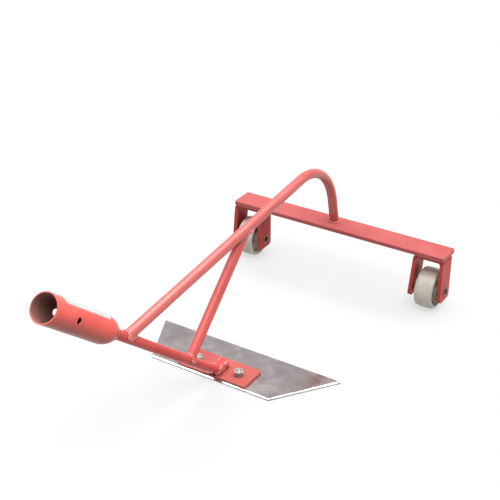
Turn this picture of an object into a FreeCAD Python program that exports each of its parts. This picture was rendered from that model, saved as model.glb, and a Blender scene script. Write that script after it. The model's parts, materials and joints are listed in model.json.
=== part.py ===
"""Wheel hoe head: a handle socket on a welded rod frame, a blade bolted under its knee and two
small wheels in forks under a flat crossbar.

Frame: +X to the operator's right, +Y forward, +Z up, millimetres. The origin is on the ground,
at the middle of the tool's bounding box. The rods all lie in one upright plane, x = stem_x.
"""

import FreeCAD, Part
import math
import os
import Sketcher
from FreeCAD import Placement, Rotation, Vector

doc = FreeCAD.newDocument("wheel_hoe")

# ---------------------------------------------------------------- driving sizes

SIZES = {
    # crossbar, flat bar
    "bar_length": 292.0, "bar_width": 32.0, "bar_thick": 5.0, "bar_top": 77.0,
    "bar_x": 3.0, "bar_y": 250.8, "bar_edge": 0.6, "bar_corner": 2.0,
    # rods, all in one upright plane
    "stem_x": -6.9, "main_dia": 11.6, "brace_dia": 11.4, "lower_dia": 10.6,
    "knee_y": -15.5, "lower_tilt": 39.9, "main_tilt": 5.93,
    "knee_to_main": 191.7, "main_to_mouth": 135.1, "rod_in_neck": 12.0,
    "knee_radius": 14.0, "foot_run": 12.0,
    "main_run": 328.5, "arch_radius": 76.0, "arch_turn": 82.5, "arch_leg": 36.0,
    "brace_low": 61.0, "brace_high": 213.1,
    # handle socket, swaged down to the lower rod
    "socket_dia": 29.0, "socket_wall": 1.2, "socket_straight": 88.0, "swage_radius": 38.0,
    "neck_dia": 12.9, "rim_round": 0.4, "pin_hole_dia": 6.5, "pin_hole_at": 35.0,
    # label film on the socket
    "label_start": 14.5, "label_end": 87.4, "label_film": 0.25, "label_span": 88.0,
    "label_corner": 3.0,
    # blade, flat on the ground
    "blade_thick": 2.5, "blade_near": -21.2, "blade_far": 47.9,
    "near_left": -88.6, "near_right": 65.2, "far_left": -120.1, "far_right": 115.5,
    "bevel_width": 1.4, "bevel_drop": 0.8,
    # mounting plate
    "plate_length": 88.0, "plate_width": 36.0, "plate_thick": 3.0, "plate_x": -10.5,
    "plate_y": -2.0, "plate_corner": 1.5,
    # M6 fasteners
    "bolt_spacing": 54.0, "bolt_y": -3.4, "bolt_dia": 6.0, "bolt_hole": 6.4, "head_dia": 11.0,
    "bolt_length": 12.0, "bolt_point": 0.8, "washer_dia": 12.0, "washer_thick": 1.2,
    "nut_flats": 10.0, "nut_high": 4.2, "nut_cone": 60.0, "key_flats": 4.0, "key_deep": 1.6,
    "thread_gap": 0.05,
    # wheel forks, bent flat bar, left leg leaning outwards
    "fork_width": 26.0, "fork_thick": 4.5, "fork_outer": 39.0, "fork_bend": 7.0,
    "leg_lean": 4.5, "leg_corner": 5.0, "leg_below_axle": 12.5,
    "fork_right_x": 128.0, "fork_left_x": -124.85,
    # wheels and axles
    "wheel_dia": 50.0, "tread_width": 22.6, "tread_offset": 0.2, "tread_round": 3.2,
    "tread_crown": 0.5, "hub_dia": 19.0, "hub_length": 25.4, "web_thick": 9.0, "rim_inner": 41.0,
    "axle_dia": 10.0, "axle_bore": 7.6, "lip_dia": 13.0, "lip_thick": 1.1, "wheel_bore": 10.16,
    "spacer_dia": 16.0, "side_gap": 0.25, "seat_gap": 0.03,
    # weld beads: radius of a lump, and how far its centre stands off the welded edge
    "seam_bead": 2.0, "neck_offset": 0.5,
    "arch_bead": 1.7, "arch_offset": 0.4, "arch_lift": 0.2,
    "knee_bead": 3.2, "knee_pitch": 4.2, "knee_inset": 0.7, "knee_low": 1.7, "knee_high": 4.3,
    "knee_near": 2.5, "knee_past": 5.0,
    "fork_bead": 1.8, "fork_pitch": 3.2, "fork_offset": 0.2, "fork_sink": 0.4,
}

SEAM_LUMPS = 26
NECK_LUMPS = 16
ARCH_LUMPS = 24
SMALLEST_LUMP = 0.5    # of the cube of its radius, below which a trimmed scrap is dropped
CLEAN_TRIM = 0.01      # volume that a trimmed bead may still share with its neighbours
COPING_OVERRUN = 40.0  # how far a coping tool runs past the joint that it shapes


def make_sheet():
    """Write every driving size into the spreadsheet, each cell under its own alias."""
    sheet = doc.addObject("Spreadsheet::Sheet", "sizes")
    for row, (alias, value) in enumerate(SIZES.items(), start=1):
        sheet.set(f"A{row}", alias)
        sheet.set(f"B{row}", str(value))
        sheet.setAlias(f"B{row}", alias)
    doc.recompute()
    return sheet


SHEET = make_sheet()


class Size:
    """A length or angle that carries both its number and its spreadsheet expression."""

    def __init__(self, number, text):
        self.number = number
        self.text = text

    def joined(self, other, sign, number):
        return Size(number, f"({self.text} {sign} {as_size(other).text})")

    def __add__(self, other):
        return self.joined(other, "+", self.number + as_size(other).number)

    def __sub__(self, other):
        return self.joined(other, "-", self.number - as_size(other).number)

    def __mul__(self, other):
        return self.joined(other, "*", self.number * as_size(other).number)

    def __truediv__(self, other):
        return self.joined(other, "/", self.number / as_size(other).number)

    def __neg__(self):
        return Size(-self.number, f"(0 - {self.text})")


def as_size(value):
    return value if isinstance(value, Size) else Size(float(value), f"({float(value)})")


def size(alias):
    return Size(float(SHEET.get(alias)), f"sizes.{alias}")


def half(alias):
    return size(alias) / 2


def sine(angle):
    return Size(math.sin(math.radians(angle.number)), f"sin({angle.text})")


def cosine(angle):
    return Size(math.cos(math.radians(angle.number)), f"cos({angle.text})")


def tangent(angle):
    return Size(math.tan(math.radians(angle.number)), f"tan({angle.text})")


def hypotenuse(first, second):
    return Size(math.hypot(first.number, second.number), f"hypot({first.text}; {second.text})")


# ---------------------------------------------------------------- places shared by sub-parts

ZERO = as_size(0)
STEM_X = size("stem_x")
LOWER_TILT = size("lower_tilt")
MAIN_TILT = size("main_tilt")
AXLE_Z = half("wheel_dia")
BAR_BOTTOM = size("bar_top") - size("bar_thick")
PLATE_TOP = size("blade_thick") + size("plate_thick")
KNEE = (size("knee_y"), PLATE_TOP + half("lower_dia"))


def up_the_lower_rod(distance):
    """Point on the lower rod's axis, measured from the knee back up towards the handle."""
    return KNEE[0] - distance * cosine(LOWER_TILT), KNEE[1] + distance * sine(LOWER_TILT)


def along_the_main_rod(distance):
    """Point on the main rod's straight stretch, measured forward from the lower rod."""
    start_y, start_z = JUNCTION
    return start_y + distance * cosine(MAIN_TILT), start_z + distance * sine(MAIN_TILT)


JUNCTION = up_the_lower_rod(size("knee_to_main"))
MOUTH = up_the_lower_rod(size("knee_to_main") + size("main_to_mouth"))
BRACE_FOOT = up_the_lower_rod(size("brace_low"))
BRACE_HEAD = along_the_main_rod(size("brace_high"))
ARCH_FOOT_SLOPE = size("arch_turn") - MAIN_TILT


# ---------------------------------------------------------------- building helpers

def set_size(obj, prop, value):
    """Give a property its number now and bind it to the spreadsheet."""
    obj.setExpression(prop, as_size(value).text)


def place(obj, x, y, z, rotation=None):
    """Put an object's local origin at (x, y, z), bound to the sheet, turned by a rotation."""
    at = [as_size(v) for v in (x, y, z)]
    obj.Placement = Placement(Vector(*[v.number for v in at]), rotation or Rotation())
    for axis, value in zip("xyz", at):
        obj.setExpression(f"Placement.Base.{axis}", value.text)


def tilt_about_x(degrees):
    return Rotation(Vector(1, 0, 0), degrees)


def new_body(label):
    body = doc.addObject("PartDesign::Body", label)
    body.Label = label
    return body


def new_sketch(body, name, role):
    """Sketch attached to one of the body's own origin planes, found by its role."""
    sketch = body.newObject("Sketcher::SketchObject", name)
    plane = [f for f in body.Origin.OriginFeatures if f.Role == role][0]
    sketch.AttachmentSupport = [(plane, "")]
    sketch.MapMode = "FlatFace"
    return sketch


def bind(sketch, constraint, name, value):
    """Add a named constraint whose value follows the spreadsheet."""
    index = sketch.addConstraint(constraint)
    sketch.renameConstraint(index, name)
    sketch.setExpression(f"Constraints.{name}", as_size(value).text)


def pin_point(sketch, edge, end, x, y, tag):
    """Hold one end of an edge at (x, y) from the sketch origin."""
    for kind, value, across in (("DistanceX", as_size(x), -2), ("DistanceY", as_size(y), -1)):
        if abs(value.number) < 1e-9:
            sketch.addConstraint(Sketcher.Constraint("PointOnObject", edge, end, across))
        else:
            made = Sketcher.Constraint(kind, -1, 1, edge, end, value.number)
            bind(sketch, made, f"{kind[-1].lower()}_{tag}", value)


def outline(sketch, points, arcs=None):
    """Closed outline through the points. arcs maps a side's number to (radius, left or right):
    the side of travel that the arc's centre lies on."""
    arcs = arcs or {}
    ends = [Vector(as_size(x).number, as_size(y).number, 0) for x, y in points]
    count = len(ends)
    starts = []
    for side in range(count):
        a, b = ends[side], ends[(side + 1) % count]
        if side not in arcs:
            sketch.addGeometry(Part.LineSegment(a, b))
            starts.append((1, 2))
            continue
        radius, centre_side = arcs[side]
        centre = arc_centre(a, b, radius.number, centre_side)
        first, last = (b, a) if centre_side == "right" else (a, b)
        angles = [math.atan2(p.y - centre.y, p.x - centre.x) for p in (first, last)]
        circle = Part.Circle(centre, Vector(0, 0, 1), radius.number)
        sketch.addGeometry(Part.ArcOfCircle(circle, *angles))
        starts.append((2, 1) if centre_side == "right" else (1, 2))
    for side in range(count):
        nxt = (side + 1) % count
        joint = Sketcher.Constraint("Coincident", side, starts[side][1], nxt, starts[nxt][0])
        sketch.addConstraint(joint)
        pin_point(sketch, side, starts[side][0], *points[side], side)
    for side, (radius, _) in arcs.items():
        bind(sketch, Sketcher.Constraint("Radius", side, radius.number), f"arc_{side}", radius)


def arc_centre(a, b, radius, centre_side):
    """Centre of the arc from a to b, on the left or right of travel."""
    chord = b - a
    middle = (a + b) * 0.5
    rise = math.sqrt(max(radius**2 - (chord.Length / 2) ** 2, 0.0))
    left = Vector(-chord.y, chord.x, 0).normalize()
    return middle + left * (rise if centre_side == "left" else -rise)


def circle(sketch, x, y, radius, tag="hole"):
    centre = Vector(as_size(x).number, as_size(y).number, 0)
    number = sketch.addGeometry(Part.Circle(centre, Vector(0, 0, 1), radius.number))
    bind(sketch, Sketcher.Constraint("Radius", number, radius.number), f"radius_{tag}", radius)
    pin_point(sketch, number, 3, x, y, tag)


def hexagon(sketch, flats):
    """Regular hexagon about the sketch origin, its flats facing along the sketch's Y axis."""
    reach = flats / math.sqrt(3)
    corners = [(reach * math.cos(math.radians(60 * i)), reach * math.sin(math.radians(60 * i)))
               for i in range(6)]
    outline(sketch, corners)


def rectangle(sketch, x_low, x_high, y_low, y_high):
    outline(sketch, [(x_low, y_low), (x_high, y_low), (x_high, y_high), (x_low, y_high)])


def rounded_rectangle(sketch, x_low, x_high, y_low, y_high, radius):
    corners = [(x_low + radius, y_low), (x_high - radius, y_low),
               (x_high, y_low + radius), (x_high, y_high - radius),
               (x_high - radius, y_high), (x_low + radius, y_high),
               (x_low, y_high - radius), (x_low, y_low + radius)]
    outline(sketch, corners, {side: (radius, "left") for side in (1, 3, 5, 7)})


def pad(body, sketch, length, midplane=False):
    feature = body.newObject("PartDesign::Pad", f"{body.Name}_pad")
    feature.Profile = sketch
    set_size(feature, "Length", length)
    feature.Midplane = midplane
    sketch.Visibility = False
    doc.recompute()
    return feature


def pocket(body, sketch, length=None, reverse=False):
    """Cut a sketch through everything, both ways, or to a depth on one side."""
    before = body.Shape.Volume
    feature = body.newObject("PartDesign::Pocket", f"{sketch.Name}_pocket")
    feature.Profile = sketch
    if length is None:
        feature.Type = "ThroughAll"
        feature.Midplane = True
    else:
        set_size(feature, "Length", length)
        feature.Reversed = reverse
    doc.recompute()
    if body.Shape.Volume >= before - 1e-6:
        raise RuntimeError(f"{sketch.Name} cut nothing")
    return feature


def revolve(body, sketch, axis):
    feature = body.newObject("PartDesign::Revolution", f"{body.Name}_turned")
    feature.Profile = sketch
    feature.ReferenceAxis = (sketch, [axis])
    feature.Angle = 360.0
    doc.recompute()
    return feature


def edges_where(shape, test):
    return [f"Edge{i}" for i, edge in enumerate(shape.Edges, start=1) if test(edge)]


def dress(body, kind, names, value):
    """Fillet or chamfer some edges of the body's last feature."""
    base = body.Tip
    feature = body.newObject(f"PartDesign::{kind}", f"{body.Name}_{kind.lower()}")
    feature.Base = (base, names)
    set_size(feature, "Radius" if kind == "Fillet" else "Size", value)
    doc.recompute()
    return feature


def bent_path(body, runs, bends):
    """Open path in the local YZ plane: it starts at the origin along +Y. Each bend is
    (radius, turn), the turn positive towards +Z."""
    sketch = new_sketch(body, f"{body.Name}_path", "YZ_Plane")
    at, heading, last = Vector(0, 0, 0), ZERO, None
    for number, run in enumerate(runs):
        angle = math.radians(heading.number)
        ahead = Vector(math.cos(angle), math.sin(angle), 0)
        line = sketch.addGeometry(Part.LineSegment(at, at + ahead * run.number))
        if last is None:
            sketch.addConstraint(Sketcher.Constraint("Coincident", line, 1, -1, 1))
            sketch.addConstraint(Sketcher.Constraint("Horizontal", line))
        else:
            sketch.addConstraint(Sketcher.Constraint("Tangent", *last, line, 1))
            bind(sketch, Sketcher.Constraint("Angle", line, angle), f"heading_{number}", heading)
        bind(sketch, Sketcher.Constraint("Distance", line, run.number), f"run_{number}", run)
        if number == len(bends):
            break
        radius, turn = bends[number]
        at += ahead * run.number
        side = 1 if turn.number > 0 else -1
        centre = at + Vector(-ahead.y, ahead.x, 0) * (side * radius.number)
        first = math.atan2(at.y - centre.y, at.x - centre.x)
        second = first + math.radians(turn.number)
        ring = Part.Circle(centre, Vector(0, 0, 1), radius.number)
        arc = sketch.addGeometry(Part.ArcOfCircle(ring, min(first, second), max(first, second)))
        near, far = (1, 2) if side > 0 else (2, 1)
        sketch.addConstraint(Sketcher.Constraint("Tangent", line, 2, arc, near))
        bind(sketch, Sketcher.Constraint("Radius", arc, radius.number), f"bend_{number}", radius)
        at = centre + Vector(math.cos(second), math.sin(second), 0) * radius.number
        heading = heading + turn
        last = (arc, far)
    doc.recompute()
    return sketch


def sweep(body, profile, path, edges):
    feature = body.newObject("PartDesign::AdditivePipe", f"{body.Name}_swept")
    feature.Profile = profile
    feature.Spine = (path, [f"Edge{i}" for i in range(1, edges + 1)])
    feature.Transition = "Right corner"
    profile.Visibility = False
    path.Visibility = False
    doc.recompute()
    return feature


def bent_rod(label, diameter, runs, bends):
    body = new_body(label)
    path = bent_path(body, runs, bends)
    profile = new_sketch(body, f"{label}_section", "XZ_Plane")
    circle(profile, 0, 0, diameter / 2)
    sweep(body, profile, path, len(runs) + len(bends))
    return body


def rod_tool(name, diameter, length, start, tilt):
    """Straight cylinder in the stem plane from a (y, z) start, rising forward by the tilt."""
    tool = doc.addObject("Part::Cylinder", name)
    set_size(tool, "Radius", diameter / 2)
    set_size(tool, "Height", length)
    place(tool, STEM_X, start[0], start[1], tilt_about_x(tilt.number - 90))
    return tool


def solid_block(name, x_low, x_high, y_low, y_high, z_low, z_high):
    block = doc.addObject("Part::Box", name)
    set_size(block, "Length", as_size(x_high) - x_low)
    set_size(block, "Width", as_size(y_high) - y_low)
    set_size(block, "Height", as_size(z_high) - z_low)
    place(block, x_low, y_low, z_low)
    return block


def fuse(name, shapes):
    joined = doc.addObject("Part::MultiFuse", name)
    joined.Shapes = shapes
    return joined


def cut(label, base, tool):
    made = doc.addObject("Part::Cut", label)
    made.Label = label
    made.Base = base
    made.Tool = tool
    return made


def common(name, first, second):
    made = doc.addObject("Part::MultiCommon", name)
    made.Shapes = [first, second]
    return made


def group(label, members):
    """One node for identical loose pieces."""
    made = doc.addObject("Part::Compound", label)
    made.Label = label
    made.Links = members
    return made


# ---------------------------------------------------------------- rod frame

def make_lower_rod():
    """Runs down from inside the socket's neck to the knee, then lies forward on the plate."""
    tangent_run = size("knee_radius") * tangent(LOWER_TILT / 2)
    neck_to_junction = size("main_to_mouth") - swage_end() + size("rod_in_neck")
    first = size("knee_to_main") + neck_to_junction - tangent_run
    rod = bent_rod("lower_rod", size("lower_dia"), [first, size("foot_run")],
                   [(size("knee_radius"), LOWER_TILT)])
    start = up_the_lower_rod(first + tangent_run)
    place(rod, STEM_X, start[0], start[1], tilt_about_x(-LOWER_TILT.number))
    return rod


def lower_axis_tool():
    """Plain cylinder where the lower rod runs, for coping the rods that meet it."""
    reach = size("knee_to_main") + COPING_OVERRUN
    return rod_tool("lower_axis", size("lower_dia"), reach, up_the_lower_rod(reach), -LOWER_TILT)


def main_axis_tool():
    return rod_tool("main_axis", size("main_dia"), size("main_run"), JUNCTION, MAIN_TILT)


def make_main_rod(lower_axis, bar_block):
    """Coped on the lower rod, it runs forward, arches over and comes down on the crossbar."""
    whole = bent_rod("main_rod_whole", size("main_dia"), [size("main_run"), size("arch_leg")],
                     [(size("arch_radius"), -size("arch_turn"))])
    place(whole, STEM_X, JUNCTION[0], JUNCTION[1], tilt_about_x(MAIN_TILT.number))
    return cut("main_rod", whole, fuse("main_rod_ends", [lower_axis, bar_block]))


def brace_line():
    """Tilt and length of the brace's axis between the two rods."""
    across = BRACE_HEAD[0] - BRACE_FOOT[0]
    rise = BRACE_HEAD[1] - BRACE_FOOT[1]
    tilt = Size(math.degrees(math.atan2(rise.number, across.number)),
                f"atan2({rise.text}; {across.text})")
    return tilt, hypotenuse(rise, across)


def make_brace_rod(lower_axis, main_axis):
    tilt, length = brace_line()
    whole = rod_tool("brace_whole", size("brace_dia"), length, BRACE_FOOT, tilt)
    return cut("brace_rod", whole, fuse("brace_ends", [lower_axis, main_axis]))


# ---------------------------------------------------------------- handle socket

def swage_angle():
    """How far round its arc the wall turns between the straight tube and the neck."""
    ratio = as_size(1) - (size("socket_dia") - size("neck_dia")) / 2 / size("swage_radius")
    return Size(math.degrees(math.acos(ratio.number)), f"acos({ratio.text})")


def swage_end():
    return size("socket_straight") + size("swage_radius") * sine(swage_angle())


def socket_placement(obj):
    """Local +Y runs down the bore from the mouth."""
    place(obj, STEM_X, MOUTH[0], MOUTH[1], tilt_about_x(-LOWER_TILT.number))


def make_handle_socket():
    body = new_body("handle_socket")
    outer, wall = half("socket_dia"), size("socket_wall")
    inner_radius = size("swage_radius") - wall
    turn = swage_angle()
    straight = size("socket_straight")
    inner_end = (straight + inner_radius * sine(turn),
                 outer - wall - inner_radius * (as_size(1) - cosine(turn)))
    outer_end = (swage_end(), half("neck_dia"))
    profile = new_sketch(body, "socket_profile", "YZ_Plane")
    outline(profile, [(ZERO, outer - wall), (straight, outer - wall), inner_end, outer_end,
                      (straight, outer), (ZERO, outer)],
            {1: (inner_radius, "right"), 3: (size("swage_radius"), "left")})
    revolve(body, profile, "H_Axis")
    hole = new_sketch(body, "pin_hole", "YZ_Plane")
    circle(hole, size("pin_hole_at"), 0, half("pin_hole_dia"))
    pocket(body, hole)
    rim = edges_where(body.Shape, is_rim_edge)
    dress(body, "Fillet", rim, size("rim_round"))
    socket_placement(body)
    return body


def is_rim_edge(edge):
    """Circle on the mouth's end face, in the body's own frame."""
    return abs(edge.BoundBox.YMax) < 1e-6 and edge.BoundBox.ZLength > 5


def make_socket_label():
    """Blank film wrapped over the upper side of the socket, its corners rounded in plan."""
    wrap = new_body("label_wrap")
    outer, film = half("socket_dia"), size("label_film")
    profile = new_sketch(wrap, "label_profile", "YZ_Plane")
    rectangle(profile, size("label_start"), size("label_end"), outer, outer + film)
    feature = wrap.newObject("PartDesign::Revolution", "label_turn")
    feature.Profile = profile
    feature.ReferenceAxis = (profile, ["H_Axis"])
    set_size(feature, "Angle", size("label_span"))
    feature.Midplane = True
    plan = new_body("label_plan")
    sheet = new_sketch(plan, "label_outline", "XY_Plane")
    reach = outer * sine(half("label_span"))
    rounded_rectangle(sheet, -reach, reach, size("label_start"), size("label_end"),
                      size("label_corner"))
    pad(plan, sheet, outer + film * 2)
    socket_placement(wrap)
    socket_placement(plan)
    return common("socket_label", wrap, plan)


# ---------------------------------------------------------------- plate, blade and fasteners

def make_mounting_plate():
    body = new_body("mounting_plate")
    base = new_sketch(body, "plate_outline", "XY_Plane")
    rectangle(base, -half("plate_length"), half("plate_length"),
              -half("plate_width"), half("plate_width"))
    pad(body, base, size("plate_thick"))
    for number, side in enumerate((-1, 1)):
        hole = new_sketch(body, f"plate_hole_{number}", "XY_Plane")
        circle(hole, half("bolt_spacing") * side, size("bolt_y") - size("plate_y"),
               half("bolt_hole"))
        pocket(body, hole)
    corners = edges_where(body.Shape, lambda e: e.Curve.TypeId == "Part::GeomLine"
                          and e.BoundBox.ZLength > 1)
    dress(body, "Fillet", corners, size("plate_corner"))
    place(body, size("plate_x"), size("plate_y"), size("blade_thick"))
    return body


def blade_outline(body, name, inset, height):
    """Sketch of the blade's outline at a height, drawn in on its three sharpened sides."""
    near, far = size("blade_near"), size("blade_far")
    ends = []
    for end, sign in (("left", 1), ("right", -1)):
        slope = (size(f"far_{end}") - size(f"near_{end}")) / (far - near)
        step = inset * hypotenuse(as_size(1), slope) * sign
        ends.append((size(f"near_{end}") + slope * inset + step, size(f"far_{end}") + step))
    (near_left, far_left), (near_right, far_right) = ends
    sketch = new_sketch(body, name, "XY_Plane")
    outline(sketch, [(near_left, near + inset), (near_right, near + inset), (far_right, far),
                     (far_left, far)])
    sketch.AttachmentOffset = Placement(Vector(0, 0, height.number), Rotation())
    sketch.setExpression("AttachmentOffset.Base.z", height.text)
    return sketch


def make_blade():
    """Long far edge, short near edge, ground to a bevel along the near edge and both ends."""
    body = new_body("blade")
    edge_thick = size("blade_thick") - size("bevel_drop")
    pad(body, blade_outline(body, "blade_sole", ZERO, ZERO), edge_thick)
    ground = body.newObject("PartDesign::AdditiveLoft", "blade_bevel")
    ground.Profile = blade_outline(body, "bevel_foot", ZERO, edge_thick)
    ground.Sections = [blade_outline(body, "bevel_head", size("bevel_width"), size("blade_thick"))]
    doc.recompute()
    for number, side in enumerate((-1, 1)):
        hole = new_sketch(body, f"blade_hole_{number}", "XY_Plane")
        circle(hole, size("plate_x") + half("bolt_spacing") * side, size("bolt_y"),
               half("bolt_hole"))
        pocket(body, hole)
    sunk = edges_where(body.Shape, lambda e: e.Curve.TypeId == "Part::GeomCircle"
                       and abs(e.BoundBox.ZMax) < 1e-6)
    dress(body, "Chamfer", sunk, (size("head_dia") - size("bolt_hole")) / 2)
    return body


def bolt_places():
    return [size("plate_x") + half("bolt_spacing") * side for side in (-1, 1)]


def make_blade_screws():
    """Countersunk screws from below, with a hexagon key socket in each head."""
    screws = []
    sink = (size("head_dia") - size("bolt_dia")) / 2
    tip, point = size("bolt_length"), size("bolt_point")
    shank = half("bolt_dia") - size("thread_gap")
    for number, x in enumerate(bolt_places()):
        body = new_body(f"screw_{number}")
        profile = new_sketch(body, f"screw_profile_{number}", "XZ_Plane")
        outline(profile, [(ZERO, ZERO), (half("head_dia"), ZERO), (shank, sink),
                          (shank, tip - point), (shank - point, tip), (ZERO, tip)])
        revolve(body, profile, "V_Axis")
        key = new_sketch(body, f"screw_key_{number}", "XY_Plane")
        hexagon(key, size("key_flats"))
        pocket(body, key, size("key_deep"), reverse=True)
        place(body, x, size("bolt_y"), 0)
        screws.append(body)
    return group("blade_screws", screws)


def make_blade_washers():
    washers = []
    for number, x in enumerate(bolt_places()):
        body = new_body(f"washer_{number}")
        ring = new_sketch(body, f"washer_ring_{number}", "XY_Plane")
        circle(ring, 0, 0, half("washer_dia"), "outer")
        circle(ring, 0, 0, half("bolt_hole"), "inner")
        pad(body, ring, size("washer_thick"))
        place(body, x, size("bolt_y"), PLATE_TOP)
        washers.append(body)
    return group("blade_washers", washers)


def make_blade_nuts():
    """Hexagon nuts with their corners turned off above and below."""
    nuts = []
    seat = PLATE_TOP + size("washer_thick")
    for number, x in enumerate(bolt_places()):
        body = new_body(f"nut_{number}")
        prism = new_sketch(body, f"nut_prism_{number}", "XY_Plane")
        hexagon(prism, size("nut_flats"))
        circle(prism, 0, 0, half("bolt_dia"), "thread")
        pad(body, prism, size("nut_high"))
        place(body, x, size("bolt_y"), seat)
        cone = doc.addObject("Part::Cone", f"nut_turning_{number}")
        set_size(cone, "Radius1", half("nut_flats") + size("nut_high") * tangent(size("nut_cone")))
        set_size(cone, "Radius2", half("nut_flats"))
        set_size(cone, "Height", size("nut_high"))
        place(cone, x, size("bolt_y"), seat)
        nuts.append(common(f"nut_turned_{number}", body, cone))
    return group("blade_nuts", nuts)


# ---------------------------------------------------------------- crossbar and wheel forks

def make_crossbar():
    body = new_body("crossbar")
    base = new_sketch(body, "bar_outline", "XY_Plane")
    rectangle(base, -half("bar_length"), half("bar_length"), -half("bar_width"), half("bar_width"))
    pad(body, base, size("bar_thick"))
    dress(body, "Fillet", edges_where(body.Shape, is_bar_corner), size("bar_corner"))
    rim = edges_where(body.Shape, lambda edge: edge.BoundBox.ZMin > 1)
    dress(body, "Fillet", rim, size("bar_edge"))
    place(body, size("bar_x"), size("bar_y"), BAR_BOTTOM)
    return body


def is_bar_corner(edge):
    return edge.BoundBox.ZLength > 1


def make_fork(side, centre_x):
    """Flat bar bent to a U: the right leg is upright and the left leg leans outwards."""
    label = f"fork_{side}"
    body = new_body(label)
    thick, bend = size("fork_thick"), size("fork_bend") - half("fork_thick")
    rise = BAR_BOTTOM - AXLE_Z + size("leg_below_axle") - size("fork_bend")
    web = size("fork_outer") - size("fork_bend") * 2
    left = rise / cosine(size("leg_lean"))
    path = bent_path(body, [rise, web, left],
                     [(bend, as_size(90)), (bend, as_size(90) - size("leg_lean"))])
    section = new_sketch(body, f"{label}_section", "XZ_Plane")
    rectangle(section, -half("fork_width"), half("fork_width"), -thick / 2, thick / 2)
    sweep(body, section, path, 5)
    drill_axle_hole(body, side)
    corners = edges_where(body.Shape, is_leg_corner)
    dress(body, "Fillet", corners, size("leg_corner"))
    upright = Rotation(Vector(0, -1, 0), Vector(0, 0, 1), Vector(-1, 0, 0), "XYZ")
    place(body, centre_x + half("fork_outer") - half("fork_thick"), size("bar_y"),
          AXLE_Z - size("leg_below_axle"), upright)
    return body


def drill_axle_hole(body, side):
    hole = new_sketch(body, f"axle_hole_{side}", "XY_Plane")
    circle(hole, 0, size("leg_below_axle"), half("axle_dia"))
    pocket(body, hole)


def is_leg_corner(edge):
    """Short edge through the sheet at the foot of either leg, in the path's own frame."""
    box = edge.BoundBox
    through = edge.Curve.TypeId == "Part::GeomLine" and box.XLength < 1e-6
    return through and box.YMax < 2.5 and 4 < edge.Length < 6


# ---------------------------------------------------------------- wheels and axles

def sides_of(reach):
    """Left and right limits of a part of the wheel about its middle."""
    return size("tread_offset") - reach, size("tread_offset") + reach


def make_wheel(side, centre_x):
    body = new_body(f"wheel_{side}")
    left, right = sides_of(half("tread_width"))
    hub_left, hub_right = sides_of(half("hub_length"))
    web_left, web_right = sides_of(half("web_thick"))
    bore, hub, rim = half("wheel_bore"), half("hub_dia"), half("rim_inner")
    corner, crown = size("tread_round"), size("tread_crown")
    shoulder = half("wheel_dia") - crown
    flat = half("tread_width") - corner
    crown_radius = (flat * flat + crown * crown) / (crown * 2)
    profile = new_sketch(body, f"wheel_profile_{side}", "XZ_Plane")
    outline(profile, [(hub_left, bore), (hub_right, bore), (hub_right, hub), (web_right, hub),
                      (web_right, rim), (right, rim), (right, shoulder - corner),
                      (right - corner, shoulder), (left + corner, shoulder),
                      (left, shoulder - corner), (left, rim), (web_left, rim), (web_left, hub),
                      (hub_left, hub)],
            {6: (corner, "left"), 7: (crown_radius, "left"), 8: (corner, "left")})
    revolve(body, profile, "H_Axis")
    place(body, centre_x, size("bar_y"), AXLE_Z)
    return body


def lean_at(height):
    """Left leg's shift outwards, at a height above the axle, from its place at the bend."""
    drop = BAR_BOTTOM - AXLE_Z - size("fork_bend") - height
    return drop * tangent(size("leg_lean"))


def left_leg_outside():
    """Outer face of the leaning leg at the axle's height, from the fork's middle."""
    bend_shift = size("fork_bend") * (as_size(1) / cosine(size("leg_lean")) - 1)
    return -half("fork_outer") - bend_shift - lean_at(ZERO)


def make_axle(side, centre_x):
    """Hollow rivet through both legs, its ends rolled over into lips."""
    body = new_body(f"axle_{side}")
    left_face, right_face = left_leg_outside(), half("fork_outer")
    lip, radius, bore = size("lip_thick"), half("axle_dia"), half("axle_bore")
    flare = half("lip_dia")
    profile = new_sketch(body, f"axle_profile_{side}", "XZ_Plane")
    outline(profile, [(left_face - lip, bore), (right_face + lip, bore),
                      (right_face + lip, radius), (right_face + lip / 2, flare),
                      (right_face, flare), (right_face, radius), (left_face, radius),
                      (left_face, flare), (left_face - lip / 2, flare),
                      (left_face - lip, radius)])
    revolve(body, profile, "H_Axis")
    place(body, centre_x, size("bar_y"), AXLE_Z)
    return body


def make_ring(label, centre_x, left, right):
    body = new_body(label)
    profile = new_sketch(body, f"{label}_profile", "XZ_Plane")
    rectangle(profile, left, right, half("axle_dia") + size("thread_gap"), half("spacer_dia"))
    revolve(body, profile, "H_Axis")
    place(body, centre_x, size("bar_y"), AXLE_Z)
    return body


def spacer_reach():
    """Left and right ends of the spacer between the leaning leg and the wheel's hub."""
    lean = size("leg_lean")
    inside = left_leg_outside() + size("fork_thick") / cosine(lean)
    hub_left, _ = sides_of(half("hub_length"))
    return inside + half("spacer_dia") * tangent(lean) + size("seat_gap"), hub_left - size("side_gap")


def washer_reach():
    """Left and right faces of the washer between the wheel's hub and the upright leg."""
    _, hub_right = sides_of(half("hub_length"))
    inside = half("fork_outer") - size("fork_thick")
    return hub_right + size("side_gap"), inside - size("seat_gap")


def make_wheel_sets():
    nodes = []
    for side in ("left", "right"):
        x = size(f"fork_{side}_x")
        nodes.append(make_fork(side, x))
        nodes.append(make_wheel(side, x))
        nodes.append(make_axle(side, x))
        nodes.append(make_ring(f"spacer_{side}", x, *spacer_reach()))
        nodes.append(make_ring(f"wheel_washer_{side}", x, *washer_reach()))
    return nodes


# ---------------------------------------------------------------- weld beads

def stem_direction(degrees):
    """Unit vector in the stem plane, rising forward by an angle."""
    angle = math.radians(degrees)
    return Vector(0, math.cos(angle), math.sin(angle))


def stem_point(place_yz):
    return Vector(STEM_X.number, place_yz[0].number, place_yz[1].number)


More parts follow.
